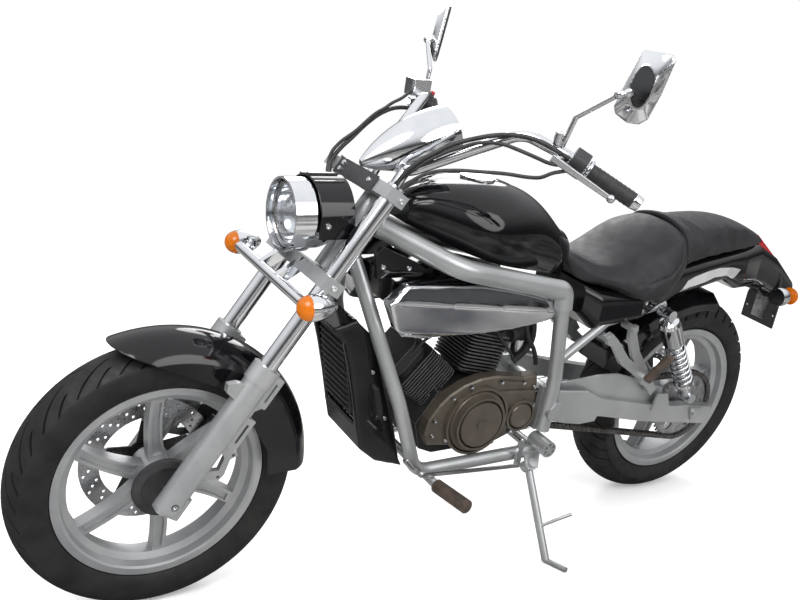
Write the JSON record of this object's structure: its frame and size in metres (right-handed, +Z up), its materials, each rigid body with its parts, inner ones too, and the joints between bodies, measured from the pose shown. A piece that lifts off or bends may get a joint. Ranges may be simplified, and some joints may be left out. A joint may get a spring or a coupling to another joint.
{
  "type": "cruiser motorcycle",
  "caption": "Cruiser motorcycle with a cradle frame, finned V-twin, cast wheels, chain drive and twin shocks; steers, rolls and folds its side stand.",
  "frame": {"origin": "middle of the bounding box at floor level, with the motorcycle parked leaning on its side stand", "axes": "+Z up, +Y towards the rear wheel, +X to the rider's left, the side it leans to"},
  "size_m": [0.8916, 2.3349, 1.3882],
  "materials": {
    "amber_lens": "clear",
    "black_leather": "grained",
    "bronze_cover": "satin",
    "chrome_plate": "polished",
    "clear_lens": "clear",
    "engine_black": "painted",
    "fork_silver": "satin",
    "gloss_black": "gloss",
    "matte_black": "matte",
    "red_lens": "clear",
    "rubber_black": "matte",
    "silver_paint": "satin",
    "steel": "brushed",
    "tank_black": "gloss",
    "tyre_rubber": "matte"
  },
  "bodies": {
    "front_wheel": {"front_tyre": "tyre_rubber", "front_wheel": "silver_paint", "front_brake_disc": "steel", "front_hub_cover": "matte_black"},
    "rear_wheel": {"rear_tyre": "tyre_rubber", "rear_wheel": "silver_paint", "rear_brake_disc": "steel", "rear_sprocket": "steel"},
    "steering": {"front_axle": "steel", "fork_lowers": "fork_silver", "fork_tubes": "chrome_plate", "triple_clamps": "fork_silver", "indicator_bar": "chrome_plate", "front_indicator_lenses": "amber_lens", "headlight_shell": "chrome_plate", "headlight_lens": "clear_lens", "headlight_cowl": "gloss_black", "instrument_pod": "chrome_plate", "handlebar": "chrome_plate", "grips": "rubber_black", "switchgear": "matte_black", "levers": "fork_silver", "mirrors": "chrome_plate", "front_fender": "gloss_black", "front_caliper": "matte_black", "control_cables": "rubber_black"},
    "frame": {"frame_upper_tubes": "silver_paint", "frame_cradle": "silver_paint", "frame_rear_tubes": "silver_paint", "fuel_tank": "tank_black", "filler_cap": "chrome_plate", "air_covers": "chrome_plate", "airbox": "matte_black", "radiator": "matte_black", "radiator_cowl": "gloss_black", "crankcase": "engine_black", "engine_covers": "bronze_cover", "cylinders": "engine_black", "exhaust": "chrome_plate", "swingarm": "silver_paint", "rear_axle": "steel", "shocks": "chrome_plate", "chain": "steel", "saddle": "black_leather", "pillion_seat": "black_leather", "tail_cowl": "gloss_black", "taillight": "red_lens", "plate_bracket": "matte_black", "rear_indicator_shells": "chrome_plate", "rear_indicator_lenses": "amber_lens", "passenger_peg_brackets": "fork_silver", "foot_pegs": "rubber_black", "shift_linkage": "steel", "rear_brake": "matte_black"},
    "side_stand": {"side_stand": "silver_paint"}
  },
  "joints": [
    {"name": "steering_turn", "type": "hinge", "parent": "frame", "child": "steering", "pos_m": [-0.05362, -0.50407, 0.76113], "axis": [0.1604, 0.5417, 0.8251], "range_deg": [-35, 35]},
    {"name": "front_wheel_spin", "type": "hinge", "parent": "steering", "child": "front_wheel", "pos_m": [-0.14167, -0.855, 0.30814], "axis": [0.9816, 0, -0.1908], "continuous": true},
    {"name": "rear_wheel_spin", "type": "hinge", "parent": "frame", "child": "rear_wheel", "pos_m": [-0.14053, 0.7, 0.31403], "axis": [0.9816, 0, -0.1908], "continuous": true},
    {"name": "side_stand_fold", "type": "hinge", "parent": "frame", "child": "side_stand", "pos_m": [0.00556, 0.0745, 0.22705], "axis": [0.7986, 0, 0.6018], "range_deg": [0, 92]}
  ]
}
